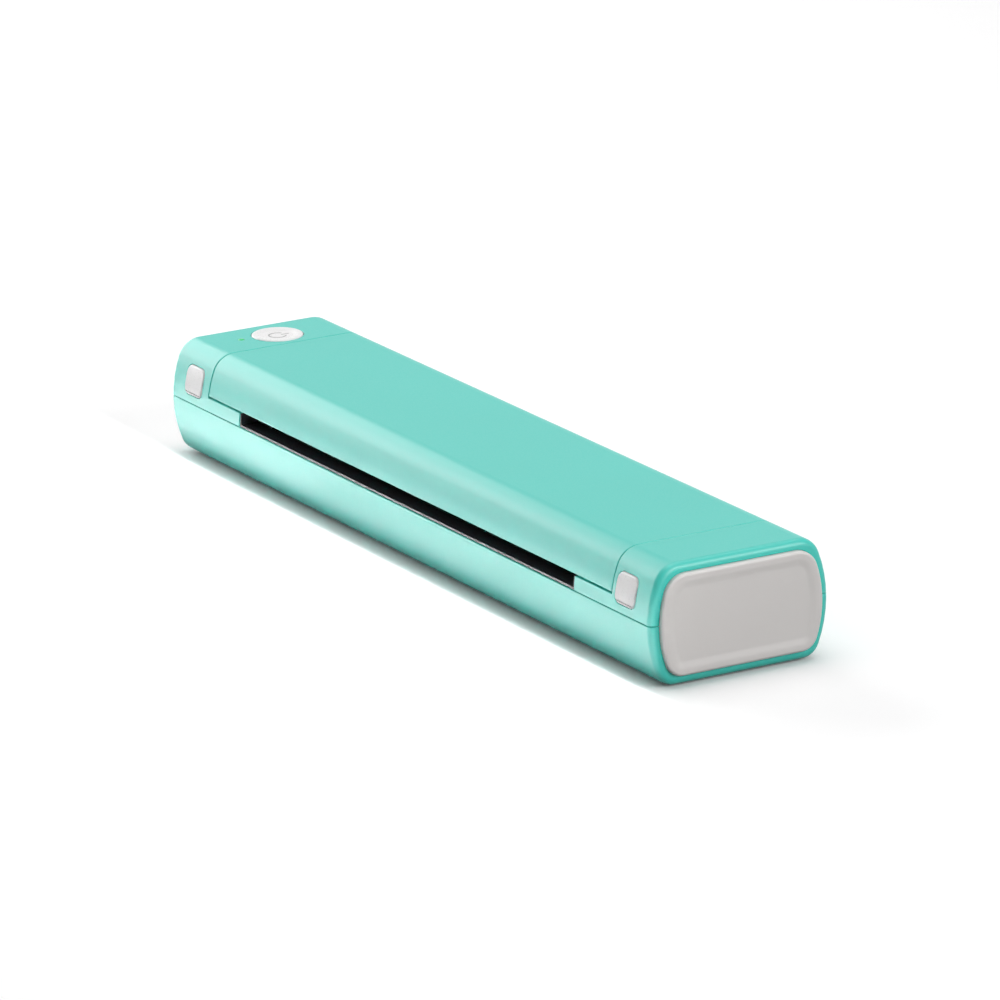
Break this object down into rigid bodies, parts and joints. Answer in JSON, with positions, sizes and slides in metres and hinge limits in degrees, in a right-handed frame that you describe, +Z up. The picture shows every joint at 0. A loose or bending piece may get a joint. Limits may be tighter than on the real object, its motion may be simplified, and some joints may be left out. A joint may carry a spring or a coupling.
{
  "type": "portable A4 thermal printer",
  "caption": "Slim bar-shaped portable A4 printer: turquoise case, hinged top cover, full-width front paper slot, two white release buttons, power button and grey end caps.",
  "frame": {"origin": "on the table under the middle of the body, at the underside of the rubber feet", "axes": "+X along the body, away from the end with the power button; -Y is the front with the release buttons; +Z is up"},
  "size_m": [0.3156, 0.0643, 0.04],
  "materials": {
    "case_plastic": "fine matt moulded ABS, turquoise",
    "cap_plastic": "satin light grey moulded ABS",
    "button_plastic": "smooth white moulded ABS",
    "light_plastic": "clear green light pipe",
    "black_plastic": "black moulded ABS",
    "gear_plastic": "natural acetal",
    "core_plastic": "natural polystyrene",
    "steel": "zinc plated steel",
    "motor_steel": "drawn steel can",
    "aluminium": "extruded aluminium",
    "ceramic": "glazed alumina",
    "rubber": "ground silicone rubber",
    "foot_rubber": "moulded rubber",
    "board": "green solder mask",
    "battery_wrap": "blue shrink wrap",
    "ribbon": "black wax ribbon on film",
    "bronze": "sintered bronze"
  },
  "bodies": {
    "case": {"lower_case": "case_plastic", "upper_case": "case_plastic", "end_cap_left": "cap_plastic", "end_cap_right": "cap_plastic", "status_light": "light_plastic", "key_board": "board", "power_switch": "steel", "main_board": "board", "charging_socket": "steel", "battery_pack": "battery_wrap", "board_screws": "steel", "rubber_feet": "foot_rubber", "case_screws": "steel", "hinge_pins": "steel", "ribbon_tray": "black_plastic", "side_plate_left": "steel", "side_plate_right": "steel", "paper_sensor": "black_plastic", "ribbon_film": "ribbon", "gear_axles": "steel", "axle_clips": "steel", "motor_bracket": "steel", "stepper_motor": "motor_steel", "motor_screws": "steel", "latch_spring_left": "steel", "latch_spring_right": "steel", "head_springs": "steel"},
    "cover": {"cover": "case_plastic", "platen_frame": "steel", "frame_screws": "steel", "platen_bushes": "bronze"},
    "platen": {"platen_shaft": "steel", "platen_roller": "rubber", "platen_gear": "gear_plastic"},
    "idler": {"idler_gear": "gear_plastic"},
    "reduction": {"reduction_gear": "gear_plastic"},
    "motor": {"motor_pinion": "steel"},
    "takeup": {"takeup_core": "core_plastic", "takeup_roll": "ribbon", "takeup_gear": "gear_plastic"},
    "supply": {"supply_core": "core_plastic", "supply_roll": "ribbon"},
    "head": {"print_head": "ceramic", "head_heatsink": "aluminium"},
    "push_left": {"push_button_left": "button_plastic", "latch_hook_left": "black_plastic"},
    "push_right": {"push_button_right": "button_plastic", "latch_hook_right": "black_plastic"},
    "power": {"power_button": "button_plastic", "switch_plunger": "black_plastic"}
  },
  "joints": [
    {"name": "cover_hinge", "type": "hinge", "parent": "case", "child": "cover", "pos_m": [0.00135, 0.02841, 0.0289], "axis": [-1, 0, 0], "range_deg": [0, 90]},
    {"name": "platen_spin", "type": "hinge", "parent": "cover", "child": "platen", "pos_m": [0.00135, 0, 0.0296], "axis": [1, 0, 0], "continuous": true},
    {"name": "idler_spin", "type": "hinge", "parent": "case", "child": "idler", "pos_m": [0.00135, 0, 0.0142], "axis": [1, 0, 0], "continuous": true},
    {"name": "reduction_spin", "type": "hinge", "parent": "case", "child": "reduction", "pos_m": [0.00135, 0.0133, 0.0142], "axis": [1, 0, 0], "continuous": true},
    {"name": "motor_spin", "type": "hinge", "parent": "case", "child": "motor", "pos_m": [0.00135, 0.0002, 0.01651], "axis": [1, 0, 0], "continuous": true},
    {"name": "takeup_spin", "type": "hinge", "parent": "case", "child": "takeup", "pos_m": [0.00135, -0.017, 0.01194], "axis": [1, 0, 0], "continuous": true},
    {"name": "supply_spin", "type": "hinge", "parent": "case", "child": "supply", "pos_m": [0.00135, 0.017, 0.01194], "axis": [1, 0, 0], "continuous": true},
    {"name": "head_float", "type": "slide", "parent": "case", "child": "head", "axis": [0, 0, -1], "range_m": [0, 0.0006], "stiffness_N_per_m": 4000, "springref_m": -0.001, "deforming": ["head_springs"]},
    {"name": "push_left_slide", "type": "slide", "parent": "case", "child": "push_left", "axis": [0, 1, 0], "range_m": [0, 0.002], "stiffness_N_per_m": 300, "springref_m": -0.003, "deforming": ["latch_spring_left"]},
    {"name": "push_right_slide", "type": "slide", "parent": "case", "child": "push_right", "axis": [0, 1, 0], "range_m": [0, 0.002], "stiffness_N_per_m": 300, "springref_m": -0.003, "deforming": ["latch_spring_right"]},
    {"name": "power_press", "type": "slide", "parent": "case", "child": "power", "axis": [0, 0, -1], "range_m": [0, 0.0006], "stiffness_N_per_m": 1500, "springref_m": -0.0004}
  ],
  "couplings": [
    {"joint": "idler_spin", "follows": "platen_spin", "ratio": -0.83333},
    {"joint": "reduction_spin", "follows": "platen_spin", "ratio": 1.4286},
    {"joint": "motor_spin", "follows": "platen_spin", "ratio": -4},
    {"joint": "takeup_spin", "follows": "platen_spin", "ratio": 0.8},
    {"joint": "supply_spin", "follows": "platen_spin", "ratio": 0.8}
  ]
}
